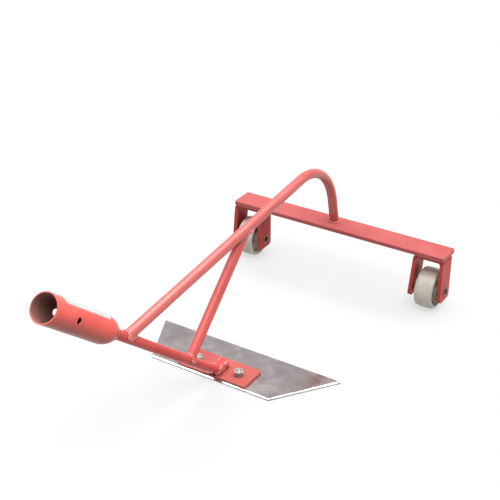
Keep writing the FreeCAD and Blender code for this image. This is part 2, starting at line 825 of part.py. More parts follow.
def seam_points(start, branch, branch_radius, host, host_radius):
    """Points round the line where a branch rod's skin meets its host rod's skin."""
    side = Vector(1, 0, 0)
    branch_up, host_up = side.cross(branch), side.cross(host)
    away = branch.dot(host_up)
    points = []
    for number in range(SEAM_LUMPS):
        turn = 2 * math.pi * number / SEAM_LUMPS
        across, above = branch_radius * math.sin(turn), branch_radius * math.cos(turn)
        depth = math.sqrt(max(host_radius**2 - across**2, 0.0)) * math.copysign(1, away)
        along = (depth - above * branch_up.dot(host_up)) / away
        points.append(start + branch * along + branch_up * above + side * across)
    return points


def ring_points(centre, axis, radius, count):
    """Points evenly round a circle about an axis in the stem plane."""
    side = Vector(1, 0, 0)
    up = side.cross(axis)
    turns = [2 * math.pi * number / count for number in range(count)]
    return [centre + side * (radius * math.cos(a)) + up * (radius * math.sin(a)) for a in turns]


def row_points(first, last, pitch):
    steps = max(int(round((last - first).Length / pitch)), 1)
    return [first + (last - first) * (step / steps) for step in range(steps + 1)]


def weld_bead(label, points, radius, neighbours):
    """Overlapping lumps of weld metal, trimmed back to the skins of the welded pieces."""
    lumps = [Part.makeSphere(radius, point) for point in points]
    metal = lumps[0].fuse(lumps[1:]).cut([piece.Shape for piece in neighbours])
    for piece in neighbours:
        if metal.common(piece.Shape).Volume > CLEAN_TRIM:
            raise RuntimeError(f"{label} still reaches into {piece.Label}")
    least = SMALLEST_LUMP * radius**3
    kept = [solid for solid in metal.Solids if solid.Volume > least]
    bead = doc.addObject("Part::Feature", label)
    bead.Label = label
    bead.Shape = kept[0] if len(kept) == 1 else Part.makeCompound(kept)
    return bead


def make_welds(pieces):
    """Every visible weld, each trimmed by the pieces that it joins."""
    radius = SIZES["seam_bead"]
    lower = stem_direction(180 - SIZES["lower_tilt"])
    main = stem_direction(SIZES["main_tilt"])
    brace = stem_direction(brace_line()[0].number)
    lower_radius, main_radius = SIZES["lower_dia"] / 2, SIZES["main_dia"] / 2
    brace_radius = SIZES["brace_dia"] / 2
    lower_rod, main_rod, brace_rod = (pieces[n] for n in ("lower_rod", "main_rod", "brace_rod"))
    socket, plate, bar = (pieces[n] for n in ("handle_socket", "mounting_plate", "crossbar"))

    junction = seam_points(stem_point(JUNCTION), main, main_radius, lower, lower_radius)
    foot = seam_points(stem_point(BRACE_FOOT), brace, brace_radius, lower, lower_radius)
    head = seam_points(stem_point(BRACE_HEAD), -brace, brace_radius, main, main_radius)
    neck_at = up_the_lower_rod(size("knee_to_main") + size("main_to_mouth") - swage_end())
    neck = ring_points(stem_point(neck_at), lower, lower_radius + SIZES["neck_offset"], NECK_LUMPS)
    arch_foot = Vector(STEM_X.number, arch_foot_y(), SIZES["bar_top"] + SIZES["arch_lift"])
    arch = ring_points(arch_foot, Vector(0, 0, 1), main_radius + SIZES["arch_offset"],
                       ARCH_LUMPS)
    welds = [
        weld_bead("weld_main_rod", junction, radius, [lower_rod, main_rod]),
        weld_bead("weld_brace_foot", foot, radius, [lower_rod, brace_rod]),
        weld_bead("weld_brace_head", head, radius, [main_rod, brace_rod]),
        weld_bead("weld_neck", neck, radius, [lower_rod, socket]),
        weld_bead("weld_arch_foot", arch, SIZES["arch_bead"], [main_rod, bar]),
    ]
    for side, sign in (("left", -1), ("right", 1)):
        welds.append(make_knee_weld(side, sign, [lower_rod, plate]))
        welds.append(make_fork_weld(side, [bar, pieces[f"fork_{side}"]]))
    return welds


def arch_foot_y():
    """Where the arch's leg meets the top of the crossbar."""
    corner_run = SIZES["main_run"] + SIZES["arch_radius"] * math.tan(
        math.radians(SIZES["arch_turn"] / 2))
    corner = along_the_main_rod(as_size(corner_run))
    drop = corner[1].number - SIZES["bar_top"]
    return corner[0].number + drop / math.tan(math.radians(ARCH_FOOT_SLOPE.number))


def make_knee_weld(side, sign, neighbours):
    """Two rows of lumps, one over the other, along one side of the rod's foot."""
    x = STEM_X.number + sign * (SIZES["lower_dia"] / 2 - SIZES["knee_inset"])
    first_y = SIZES["knee_y"] + SIZES["knee_near"]
    last_y = SIZES["knee_y"] + SIZES["foot_run"] + SIZES["knee_past"]
    points = []
    for lift in (SIZES["knee_low"], SIZES["knee_high"]):
        z = PLATE_TOP.number + lift
        points += row_points(Vector(x, first_y, z), Vector(x, last_y, z), SIZES["knee_pitch"])
    return weld_bead(f"weld_knee_{side}", points, SIZES["knee_bead"], neighbours)


def make_fork_weld(side, neighbours):
    """Rows of lumps along the web's two edges, under the crossbar."""
    reach = SIZES["fork_outer"] / 2 - SIZES["fork_bend"]
    x, z = SIZES[f"fork_{side}_x"], BAR_BOTTOM.number - SIZES["fork_sink"]
    rows = []
    for sign in (-1, 1):
        y = SIZES["bar_y"] + sign * (SIZES["fork_width"] / 2 + SIZES["fork_offset"])
        rows += row_points(Vector(x - reach, y, z), Vector(x + reach, y, z), SIZES["fork_pitch"])
    return weld_bead(f"weld_fork_{side}", rows, SIZES["fork_bead"], neighbours)


# ---------------------------------------------------------------- model and export

def build_model():
    lower_axis, main_axis = lower_axis_tool(), main_axis_tool()
    bar_block = solid_block("bar_block", size("bar_x") - half("bar_length"),
                            size("bar_x") + half("bar_length"), size("bar_y") - half("bar_width"),
                            size("bar_y") + half("bar_width"), BAR_BOTTOM, size("bar_top"))
    nodes = [
        make_handle_socket(), make_socket_label(), make_lower_rod(),
        make_main_rod(lower_axis, bar_block), make_brace_rod(lower_axis, main_axis),
        make_mounting_plate(), make_blade(), make_blade_screws(), make_blade_washers(),
        make_blade_nuts(), make_crossbar(),
    ]
    nodes += make_wheel_sets()
    doc.recompute()
    nodes += make_welds({node.Label: node for node in nodes})
    doc.recompute()
    return nodes


def check_objects():
    """Stop with a plain message if any object failed to build."""
    bad = [obj.Label for obj in doc.Objects if {"Invalid", "Error"} & set(obj.State)]
    if bad:
        raise RuntimeError(f"failed to build: {bad}")


def export(nodes):
    os.makedirs("parts", exist_ok=True)
    for node in nodes:
        shape = node.Shape
        if shape.isNull() or not shape.isValid() or not shape.Solids:
            raise RuntimeError(f"{node.Label} has no valid solid")
    for node in nodes:
        node.Shape.exportStep(os.path.join("parts", f"{node.Label}.step"))
        box = node.Shape.BoundBox
        print(f"{node.Label:18s} solids {len(node.Shape.Solids):2d} volume {node.Shape.Volume:10.1f}"
              f"  x {box.XMin:7.1f} {box.XMax:7.1f}  y {box.YMin:7.1f} {box.YMax:7.1f}"
              f"  z {box.ZMin:6.1f} {box.ZMax:6.1f}")


MODEL = build_model()
check_objects()
export(MODEL)
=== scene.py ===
import json
import math
import random

import bmesh
import bpy
from mathutils import Matrix, Vector


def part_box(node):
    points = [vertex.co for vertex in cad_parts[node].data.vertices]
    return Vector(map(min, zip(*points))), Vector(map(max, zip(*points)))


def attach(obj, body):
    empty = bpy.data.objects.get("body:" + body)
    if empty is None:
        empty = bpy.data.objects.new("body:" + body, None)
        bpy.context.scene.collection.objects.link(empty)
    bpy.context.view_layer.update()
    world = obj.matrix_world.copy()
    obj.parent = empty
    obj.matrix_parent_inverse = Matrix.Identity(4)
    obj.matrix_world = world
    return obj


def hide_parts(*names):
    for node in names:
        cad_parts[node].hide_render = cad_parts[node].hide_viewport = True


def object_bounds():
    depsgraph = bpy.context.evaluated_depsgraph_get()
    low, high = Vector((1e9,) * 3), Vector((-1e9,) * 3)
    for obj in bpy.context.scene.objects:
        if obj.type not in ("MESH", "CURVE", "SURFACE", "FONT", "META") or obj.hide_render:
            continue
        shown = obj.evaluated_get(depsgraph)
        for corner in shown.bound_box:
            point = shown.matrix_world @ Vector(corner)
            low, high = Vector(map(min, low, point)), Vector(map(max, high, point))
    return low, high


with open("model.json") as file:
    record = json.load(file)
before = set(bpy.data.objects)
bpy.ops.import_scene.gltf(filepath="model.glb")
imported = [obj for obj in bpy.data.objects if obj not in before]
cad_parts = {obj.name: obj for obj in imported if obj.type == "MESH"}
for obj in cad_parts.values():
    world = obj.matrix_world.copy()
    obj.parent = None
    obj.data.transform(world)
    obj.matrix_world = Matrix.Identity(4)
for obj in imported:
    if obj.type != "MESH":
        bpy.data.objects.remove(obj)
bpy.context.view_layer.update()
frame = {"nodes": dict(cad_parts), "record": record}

# Looks of the wheel hoe head: glossy red paint on the frame, a brushed blade, zinc-plated
# fasteners, ivory nylon wheels. Metres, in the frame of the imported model.

MM = 0.001
NODES = frame["nodes"]
MOUNTS = {mount["name"]: mount for mount in frame["record"]["mounts"]}
SIDES = ("left", "right")


def add_object(name, data):
    """A new object that shows the data, linked into the scene."""
    piece = bpy.data.objects.new(name, data)
    bpy.context.scene.collection.objects.link(piece)
    return piece


# ---------------------------------------------------------------- node trees

MASK_SAMPLES = 6
EDGE_TURN = (0.985, 0.86)     # cosine of the turn at an edge: where its mask starts, where it is full
CREVICE_OPEN = (0.75, 0.15)   # share of open sky: where the mask starts, where it is full


class Tree:
    """One material's node tree. Every method adds a node and returns what it puts out."""

    def __init__(self, name):
        self.material = bpy.data.materials.new(name)
        self.material.use_nodes = True
        self.nodes = self.material.node_tree.nodes
        self.links = self.material.node_tree.links
        self.nodes.clear()

    def feed(self, socket, value):
        if isinstance(value, bpy.types.NodeSocket):
            self.links.new(value, socket)
        else:
            socket.default_value = value

    def add(self, kind, inputs=None, **settings):
        node = self.nodes.new("ShaderNode" + kind)
        for key, value in settings.items():
            setattr(node, key, value)
        for key, value in (inputs or {}).items():
            self.feed(node.inputs[key], value)
        return node

    def point(self):
        """The point on the piece, in metres of the frame."""
        return self.add("TexCoord").outputs["Object"]

    def place(self, stretch=(1, 1, 1)):
        """The point on the piece in millimetres, each axis times its stretch."""
        return self.vector("MULTIPLY", self.point(), [part / MM for part in stretch])

    def math(self, operation, first, second=0.0):
        return self.add("Math", {0: first, 1: second}, operation=operation).outputs[0]

    def vector(self, operation, first, second=(0, 0, 0)):
        node = self.add("VectorMath", {0: first, 1: second}, operation=operation)
        return node.outputs["Value" if operation in ("DOT_PRODUCT", "LENGTH") else "Vector"]

    def noise(self, place, grain, detail=3.0, roughness=0.55, distortion=0.0):
        """Noise from 0 to 1 whose features are about grain millimetres across."""
        inputs = {"Vector": place, "Scale": 1 / grain, "Detail": detail,
                  "Roughness": roughness, "Distortion": distortion}
        return self.add("TexNoise", inputs).outputs[0]

    def cells(self, place, grain, output="Distance"):
        """Cells about grain millimetres across: distance to the nearest middle, or its Color."""
        return self.add("TexVoronoi", {"Vector": place, "Scale": 1 / grain}).outputs[output]

    def span(self, value, low, high, to_low=0.0, to_high=1.0):
        """Value from low..high carried to to_low..to_high, smoothly and clamped."""
        inputs = {0: value, 1: low, 2: high, 3: to_low, 4: to_high}
        node = self.add("MapRange", inputs, interpolation_type="SMOOTHSTEP")
        return node.outputs[0]

    def mix(self, factor, first, second):
        node = self.add("Mix", {0: factor, 6: first, 7: second}, data_type="RGBA")
        return node.outputs[2]

    def blend(self, factor, first, second):
        return self.add("Mix", {0: factor, 2: first, 3: second}, data_type="FLOAT").outputs[0]

    def edges(self, radius):
        """1 on edges that turn sharply within radius, 0 on flats and wide bends."""
        rounded = self.add("Bevel", {"Radius": radius}, samples=MASK_SAMPLES).outputs[0]
        return self.span(self.facing(rounded), *EDGE_TURN)

    def crevices(self, distance):
        """1 deep in corners and under lumps, 0 in the open: it follows how shaded a point is, so colour
        mixed by it is painted shade.
        """
        occlusion = self.add("AmbientOcclusion", {"Distance": distance}, samples=MASK_SAMPLES)
        return self.span(occlusion.outputs["AO"], *CREVICE_OPEN)

    def facing(self, direction):
        """How far the surface faces a direction of the frame, -1 to 1."""
        normal = self.add("NewGeometry").outputs["Normal"]
        return self.vector("DOT_PRODUCT", normal, direction)

    def bump(self, height, distance, below=None):
        """Relief of the height mask, distance metres deep, on top of the relief below."""
        inputs = {"Strength": 1.0, "Distance": distance, "Height": height}
        if below is not None:
            inputs["Normal"] = below
        return self.add("Bump", inputs).outputs[0]

    def finish(self, **inputs):
        """Close the tree with a Principled shader that takes these inputs."""
        named = {key.replace("_", " "): value for key, value in inputs.items()}
        shader = self.add("BsdfPrincipled", named)
        output = self.add("OutputMaterial")
        self.links.new(shader.outputs[0], output.inputs["Surface"])
        return self.material


def grey(level, warm=0.0):
    """A nearly neutral colour, redder and less blue as warm grows."""
    return (level * (1 + warm), level, level * (1 - warm), 1)


# ---------------------------------------------------------------- red paint

CORAL = (0.320, 0.061, 0.057, 1)
CORAL_DEEP = (0.292, 0.051, 0.048, 1)
CORAL_WARM = (0.330, 0.068, 0.050, 1)
# pale coral for chalky patches, and also a painted highlight along sharp edges
CORAL_CHALK_AND_HIGHLIGHT = (0.400, 0.130, 0.120, 1)
# dark paint for specks and burnt weld patches, and also painted shade in corners and in the gaps of
# weld lumps
DARK_PAINT_AND_SHADE = (0.100, 0.014, 0.012, 1)
# painted shade: a dull red that darkens downward faces
UNDERSIDE_SHADE_RED = (0.200, 0.085, 0.070, 1)
BARE_STEEL = grey(0.26, 0.05)
RUST_LIGHT = (0.300, 0.150, 0.128, 1)
RUST_DARK = (0.220, 0.104, 0.088, 1)
BRUSH_MARKS = 0.02 * MM
ROD_BRUSH_MARKS = 0.07 * MM
ORANGE_PEEL = 0.012 * MM
CHIP_STEP = 0.06 * MM
WELD_RELIEF = 0.22 * MM
# painted highlight: the welds' paint is made paler and pinker all over, in place of light caught by the
# lumps
WELD_HIGHLIGHT_TONE = (1.40, 1.65, 1.62)


def paint_colour(tree, place):
    """Coral paint with slow drifts in tone, faint chalky patches and specks of grit."""
    drift = tree.span(tree.noise(place, 55, detail=2), 0.35, 0.65)
    colour = tree.mix(drift, CORAL, CORAL_DEEP)
    warm = tree.span(tree.noise(place, 24, detail=3), 0.55, 0.75, 0.0, 0.35)
    colour = tree.mix(warm, colour, CORAL_WARM)
    chalk = tree.span(tree.noise(place, 7, detail=5, roughness=0.7), 0.58, 0.80, 0.0, 0.14)
    colour = tree.mix(chalk, colour, CORAL_CHALK_AND_HIGHLIGHT)
    specks = tree.span(tree.cells(place, 3.2), 0.10, 0.05, 0.0, 0.55)
    rare = tree.span(tree.noise(place, 11, detail=1), 0.56, 0.62)
    return tree.mix(tree.math("MULTIPLY", specks, rare), colour, DARK_PAINT_AND_SHADE)


def paint_relief(tree, place, brush):
    """Orange peel over the slow waves that brushed enamel settles into."""
    waves = tree.bump(tree.noise(place, 9, detail=2), brush)
    return tree.bump(tree.noise(place, 1.1, detail=2), ORANGE_PEEL, waves)


def painted(name, tone=(1, 1, 1), shine=0.05, chip=0.35, edge_highlight=0.35, brush=BRUSH_MARKS,
            corner_shade=0.30, underside_shade=0.0, rusty=None):
    """Red enamel over steel. Tone scales its colour per part to paint in how brightly that part is lit:
    painted light and shade. Chip sets how much of the edges is worn through, brush how deep the brush
    marks are, and rusty makes a mask of places that the paint never reached. Three more arguments set
    painted light and shade: how pale the edges get (a painted highlight), and how dark the corners and,
    in patches, the downward faces get (painted shade)."""
    tree = Tree(name)
    place = tree.place()
    colour = tree.vector("MULTIPLY", paint_colour(tree, place), tone)
    # painted shade: the paint darkens in corners and crevices, where little sky is open
    corners = tree.crevices(4 * MM)
    colour = tree.mix(tree.math("MULTIPLY", corners, corner_shade), colour, DARK_PAINT_AND_SHADE)
    # painted shade: downward faces are darkened towards a dull red, in noisy patches
    underside_patches = tree.span(tree.noise(place, 9, detail=4), 0.25, 0.60, 0.6 * underside_shade, underside_shade)
    under = tree.math("MULTIPLY", tree.span(tree.facing((0, 0, -1)), -0.1, 0.7), underside_patches)
    colour = tree.mix(under, colour, UNDERSIDE_SHADE_RED)
    edge = tree.edges(0.9 * MM)
    # painted highlight: the paint is made paler along sharp edges
    colour = tree.mix(tree.math("MULTIPLY", edge, edge_highlight), colour, CORAL_CHALK_AND_HIGHLIGHT)
    ragged = tree.noise(place, 2.6, detail=6, roughness=0.7)
    worn = tree.span(ragged, 0.66 - 0.22 * chip, 0.70 - 0.22 * chip)
    bare = tree.math("MULTIPLY", tree.span(edge, 0.35, 0.75), worn)
    colour = tree.mix(bare, colour, BARE_STEEL)
    gloss = tree.span(tree.noise(place, 13, detail=4), 0.35, 0.70, 0.17, 0.26)
    shine = tree.blend(bare, shine, 0.5)
    if rusty is not None:
        mask = rusty(tree)
        rust = tree.mix(tree.noise(place, 3.5, detail=4), RUST_DARK, RUST_LIGHT)
        colour = tree.mix(mask, colour, rust)
        gloss = tree.blend(mask, gloss, 0.62)
        shine = tree.blend(mask, shine, 0.15)
    relief = paint_relief(tree, place, brush)
    step = tree.bump(tree.math("SUBTRACT", 1.0, bare), CHIP_STEP, relief)
    return tree.finish(Base_Color=colour, Roughness=tree.blend(bare, gloss, 0.45),
                       Metallic=tree.math("MULTIPLY", bare, 0.8), Specular_IOR_Level=shine,
                       Normal=step)


def inside_bore(tree):
    """1 on the socket's inner wall, which faces the bore's axis."""
    bore = MOUNTS["handle_bore"]
    axis = tuple(Vector(bore["axis"]).normalized())
    offset = tree.vector("SUBTRACT", tree.point(), tuple(bore["pos_m"]))
    around = tree.vector("CROSS_PRODUCT", offset, axis)
    outward = tree.vector("NORMALIZE", tree.vector("CROSS_PRODUCT", axis, around))
    return tree.span(tree.facing(outward), -0.3, -0.6)


def weld_paint():
    """Thick glossy paint pooled over weld ripples, paler and pinker all over as a painted highlight,
    and darker in the gaps of the lumps as painted shade.
    """
    tree = Tree("weld_paint")
    place = tree.place()
    # painted highlight: the whole weld colour is scaled paler and pinker
    colour = tree.vector("MULTIPLY", paint_colour(tree, place), WELD_HIGHLIGHT_TONE)
    # painted shade: the paint darkens in the gaps of the lumps
    gap_shade = tree.crevices(1.5 * MM)
    colour = tree.mix(tree.math("MULTIPLY", gap_shade, 0.35), colour, DARK_PAINT_AND_SHADE)
    burnt = tree.span(tree.noise(place, 2.2, detail=4), 0.62, 0.74, 0.0, 0.3)
    colour = tree.mix(burnt, colour, DARK_PAINT_AND_SHADE)
    relief = tree.bump(tree.noise(place, 1.6, detail=4, roughness=0.6), WELD_RELIEF)
    return tree.finish(Base_Color=colour, Roughness=tree.span(burnt, 0.0, 0.3, 0.20, 0.40),
                       Specular_IOR_Level=0.5, Normal=relief)


# ---------------------------------------------------------------- metals

# the blade's pale and dark steel are tinted pink: the steel's grey with a painted reflection of the red
# paint
STEEL_LIGHT = (0.770, 0.690, 0.690, 1)
STEEL_DARK = (0.650, 0.575, 0.575, 1)
STEEL_TINT = (0.640, 0.520, 0.440, 1)
STEEL_SHEARED = (0.300, 0.280, 0.275, 1)
STEEL_LINES = grey(0.76)
STEEL_SCRATCH = grey(0.86)
STEEL_EDGE = grey(0.90)
BRUSHED_RELIEF = 0.012 * MM
SCRATCH_RELIEF = 0.010 * MM
ZINC_RELIEF = 0.03 * MM
# painted shade: a dark grey for the plating's crevices
ZINC_CREVICE_SHADE = grey(0.07, 0.2)
TARNISH_PALE = (0.38, 0.33, 0.25, 1)
TARNISH_BROWN = (0.36, 0.27, 0.17, 1)
RIVET_RUST = (0.20, 0.085, 0.048, 1)


def blade_steel():
    """Cold-rolled stainless sheet brushed along its length, with smears and fine scratches; its greys
    are tinted pink, a painted reflection of the red paint.
    """
    tree = Tree("blade_steel")
    place = tree.place()
    along = tree.place((0.012, 1.6, 1.6))
    lines = tree.noise(along, 1.0, detail=5, roughness=0.65)
    clouds = tree.noise(place, 34, detail=4, roughness=0.6)
    colour = tree.mix(tree.span(clouds, 0.30, 0.70), STEEL_DARK, STEEL_LIGHT)
    colour = tree.mix(tree.span(lines, 0.35, 0.75, 0.0, 0.30), colour, STEEL_LINES)
    tint = tree.span(tree.noise(place, 21, detail=2, distortion=1.5), 0.60, 0.78, 0.0, 0.4)
    colour = tree.mix(tint, colour, STEEL_TINT)
    slanted = tree.add("Mapping", {"Vector": place, "Rotation": (0, 0, 0.9),
                                   "Scale": (0.02, 1.0, 1.0)}).outputs[0]
    scratch = tree.span(tree.noise(slanted, 0.9, detail=4), 0.70, 0.76, 0.0, 0.6)
    colour = tree.mix(scratch, colour, STEEL_SCRATCH)
    smear = tree.noise(place, 17, detail=5, roughness=0.65, distortion=0.8)
    rough = tree.span(smear, 0.38, 0.66, 0.13, 0.21)
    edge = tree.edges(0.7 * MM)
    colour = tree.mix(tree.math("MULTIPLY", edge, 0.6), colour, STEEL_EDGE)
    upright = tree.math("ABSOLUTE", tree.facing((0, 0, 1)))
    sheared = tree.span(upright, 0.80, 0.55)
    colour = tree.mix(sheared, colour, STEEL_SHEARED)
    rough = tree.blend(sheared, rough, 0.5)
    relief = tree.bump(scratch, SCRATCH_RELIEF, tree.bump(lines, BRUSHED_RELIEF))
    return tree.finish(Base_Color=colour, Metallic=1.0, Roughness=rough, Normal=relief,
                       Anisotropic=0.45, Tangent=tree.add("CombineXYZ", {0: 1.0}).outputs[0])


def plated(name, level, stain, tarnish, rough_low, rough_high):
    """Zinc plating: crystalline flecks, patches of tarnish and handling marks, and painted shade
    darkening its crevices.
    """
    tree = Tree(name)
    place = tree.place()
    flecks = tree.cells(place, 1.3, output="Color")
    tone = tree.add("RGBToBW", {0: flecks}).outputs[0]
    colour = tree.mix(tone, grey(level * 0.86), grey(level))
    passive = tree.span(tree.noise(place, 4.5, detail=3), 0.40, 0.66, stain * 0.5, stain)
    colour = tree.mix(passive, colour, tarnish)
    # painted shade: the plating darkens in its crevices
    crevice_shade = tree.math("MULTIPLY", tree.crevices(1.5 * MM), 0.7)
    colour = tree.mix(crevice_shade, colour, ZINC_CREVICE_SHADE)
    marks = tree.noise(place, 0.7, detail=5, roughness=0.7)
    rough = tree.span(marks, 0.35, 0.70, rough_low, rough_high)
    relief = tree.bump(marks, ZINC_RELIEF)
    return tree.finish(Base_Color=colour, Metallic=0.92, Roughness=rough, Normal=relief)


# ---------------------------------------------------------------- wheels and label

IVORY = (0.405, 0.377, 0.338, 1)
IVORY_DULL = (0.350, 0.314, 0.262, 1)
# a tan soil colour for stains and scuffs, and also painted shade in the recess and hub
SOIL_AND_HUB_SHADE = (0.300, 0.240, 0.170, 1)
# painted shade: a dark brown for the wheel's crevices
WHEEL_CREVICE_SHADE = (0.070, 0.050, 0.034, 1)
NYLON_RELIEF = 0.05 * MM
NYLON_DEPTH = 4 * MM   # how far light gets into the nylon


def wheel_nylon(side):
    """Ivory nylon: mottled, rolled dirty around the tread, browner in the recess and hub and darker in
    its crevices, both painted shade.
    """
    low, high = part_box("wheel_" + side)
    centre = (low + high) / 2
    radius = (high.z - low.z) / 2
    tree = Tree("wheel_nylon_" + side)
    place = tree.place()
    offset = tree.vector("SUBTRACT", tree.point(), tuple(centre))
    radial = tree.vector("LENGTH", tree.vector("MULTIPLY", offset, (0, 1, 1)))
    clouds = tree.noise(place, 13, detail=5, roughness=0.6, distortion=0.5)
    colour = tree.mix(tree.span(clouds, 0.32, 0.68), IVORY, IVORY_DULL)
    stains = tree.span(tree.noise(place, 5, detail=6, roughness=0.7), 0.55, 0.74, 0.0, 0.4)
    colour = tree.mix(stains, colour, SOIL_AND_HUB_SHADE)
    band = tree.place((3.2, 0.22, 0.22))
    scuff = tree.span(tree.noise(band, 3.0, detail=5, roughness=0.7), 0.52, 0.74, 0.0, 0.35)
    colour = tree.mix(scuff, colour, SOIL_AND_HUB_SHADE)
    # painted shade: browner towards the hub, in the recess
    inner = tree.span(radial, radius * 0.86, radius * 0.74, 0.0, 0.55)
    colour = tree.mix(inner, colour, SOIL_AND_HUB_SHADE)
    # painted shade: darker in the crevices
    corners = tree.math("MULTIPLY", tree.crevices(5 * MM), 0.7)
    colour = tree.mix(corners, colour, WHEEL_CREVICE_SHADE)
    grain = tree.bump(tree.noise(place, 0.9, detail=4), NYLON_RELIEF)
    relief = tree.bump(scuff, NYLON_RELIEF, grain)
    return tree.finish(Base_Color=colour, Roughness=tree.span(clouds, 0.3, 0.7, 0.38, 0.55),
                       Subsurface_Weight=0.12, Subsurface_Scale=NYLON_DEPTH, Normal=relief)


FILM_WHITE = grey(0.400, 0.002)
FILM_SOILED = grey(0.320, 0.015)
# grey for specks, and also a painted edge shadow
FILM_DUST_AND_SHADE = grey(0.150, 0.03)
FILM_RELIEF = 0.07 * MM


def label_film():
    """White vinyl film, lightly soiled, yellowed and dusty, and darker along its edges as a painted
    edge shadow.
    """
    tree = Tree("label_film")
    place = tree.place()
    soil = tree.span(tree.noise(place, 9, detail=5, roughness=0.65), 0.40, 0.75, 0.0, 0.6)
    colour = tree.mix(soil, FILM_WHITE, FILM_SOILED)
    specks = tree.span(tree.cells(place, 2.4), 0.09, 0.05, 0.0, 0.5)
    colour = tree.mix(specks, colour, FILM_DUST_AND_SHADE)
    # painted shadow: the film is darker along its edges
    edge = tree.math("MULTIPLY", tree.edges(0.5 * MM), 0.5)
    colour = tree.mix(edge, colour, FILM_DUST_AND_SHADE)
    waves = tree.bump(tree.noise(place, 5.5, detail=2), FILM_RELIEF)
    return tree.finish(Base_Color=colour, Roughness=0.34, Coat_Weight=0.25,
                       Coat_Roughness=0.2, Normal=waves)


# ---------------------------------------------------------------- giving each node its finish

# painted light and shade: these tones brighten or darken one coral paint per rod and per part by how
# strongly each is lit
RODS = {"main_rod": ((1.28, 1.50, 1.46), 0.33), "brace_rod": ((1.36, 1.36, 1.30), 0.20),
        "lower_rod": ((1.38, 1.00, 0.93), 0.06)}   # tone and shine of each rod's paint
PLATE_LIGHTING_TONE = (1.04, 1.27, 1.20)
BAR_LIGHTING_TONE = (1.0, 1.28, 1.33)
FORK_LIGHTING_TONE = (1.18, 0.76, 0.72)
SOCKET_LIGHTING_TONE = (2.05, 1.80, 1.55)


def wear(node, material):
    """Give a CAD node this material."""
    mesh = NODES[node].data
    mesh.materials.clear()
    mesh.materials.append(material)


def finish_frame():
    for node, (tone, shine) in RODS.items():
        wear(node, painted("red_" + node, tone, shine, chip=0.0, brush=ROD_BRUSH_MARKS))
    plate_paint = painted("red_plate", PLATE_LIGHTING_TONE, 0.10, chip=0.6, edge_highlight=0.85)
    bar_paint = painted("red_bar", BAR_LIGHTING_TONE, chip=0.15, edge_highlight=0.5)
    fork_paint = painted("red_fork", FORK_LIGHTING_TONE, chip=0.55, corner_shade=0.45)
    socket_paint = painted("red_socket", SOCKET_LIGHTING_TONE, underside_shade=0.85, rusty=inside_bore)
    wear("mounting_plate", plate_paint)
    wear("crossbar", bar_paint)
    for side in SIDES:
        wear("fork_" + side, fork_paint)
    wear("handle_socket", socket_paint)


# ---------------------------------------------------------------- welds

WELDS = sorted(name for name in NODES
               if name.startswith("weld_") and not name.startswith("weld_knee"))
MELT_VOXEL = 0.32 * MM
FLOW_FACTOR = 0.5
FLOW_PASSES = 3
RIPPLE_SIZE = 2.2 * MM
RIPPLE_HEIGHT = 0.7 * MM

KNEE_SIDES = {"left": (-1, 62), "right": (1, 34)}   # outward along X, highest lump in degrees
KNEE_BEND = 14 * MM          # radius of the lower rod's bend at the knee
KNEE_BEND_END = -10.4 * MM   # where the rod lies flat on the plate
LUMP_RADIUS = (1.7, 2.9)     # ranges that the lumps are drawn from, in millimetres
LUMP_OFF_ROD = (-0.7, 0.5)
LUMP_LOWEST = -50            # degrees below the rod's middle
LUMP_SUNK = 0.4              # least height of a lump's middle over the plate, in radii
KNEE_LUMPS = 44
HEAP_LUMPS = 16              # more lumps, heaped at the bead's near end
HEAP_OUTWARD = (1.0, 5.6)
HEAP_ALONG = (-0.8, 3.5)
HEAP_UP = (0.8, 4.2)


def knee_lumps(side, outward, highest):
    """Middle and radius of each lump of a bead that is heaped from the plate up the side of the
    rod's foot, to highest degrees above the rod's middle, and into the wedge under the knee."""
    low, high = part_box("weld_knee_" + side)
    rod_low, rod_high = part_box("lower_rod")
    rod_radius = (rod_high.x - rod_low.x) / 2
    rod_x = (rod_high.x + rod_low.x) / 2
    plate_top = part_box("mounting_plate")[1].z
    dice = random.Random("knee " + side)
    lumps = []
    for number in range(KNEE_LUMPS):
        radius = dice.uniform(*LUMP_RADIUS) * MM
        y = low.y + radius + (high.y - low.y - radius * 2) * number / (KNEE_LUMPS - 1)
        rise = max(KNEE_BEND_END - y, 0.0)**2 / (2 * KNEE_BEND)
        turn = math.radians(dice.uniform(LUMP_LOWEST, highest))
        off = rod_radius + dice.uniform(*LUMP_OFF_ROD) * MM
        centre = Vector((rod_x + outward * off * math.cos(turn), y,
                         plate_top + rod_radius + rise * dice.random() + off * math.sin(turn)))
        centre.z = max(centre.z, plate_top + LUMP_SUNK * radius)
        lumps.append((centre, radius))
    for _ in range(HEAP_LUMPS):
        radius = dice.uniform(*LUMP_RADIUS) * MM
        lumps.append((Vector((rod_x + outward * dice.uniform(*HEAP_OUTWARD) * MM,
                              low.y + dice.uniform(*HEAP_ALONG) * MM,
                              plate_top + dice.uniform(*HEAP_UP) * MM)), radius))
    return lumps


def make_knee_bead(side, paint):
    """A hand-laid, uneven bead beside the rod's foot, in place of the CAD's even one."""
    shape = bmesh.new()
    for centre, radius in knee_lumps(side, *KNEE_SIDES[side]):
        bmesh.ops.create_icosphere(shape, subdivisions=3, radius=radius,
                                   matrix=Matrix.Translation(centre))
    mesh = bpy.data.meshes.new("knee_bead_" + side)
    shape.to_mesh(mesh)
    shape.free()
    bead = add_object("knee_bead_" + side, mesh)
    mesh.materials.append(paint)
    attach(bead, "frame")
    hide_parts("weld_knee_" + side)
    return bead


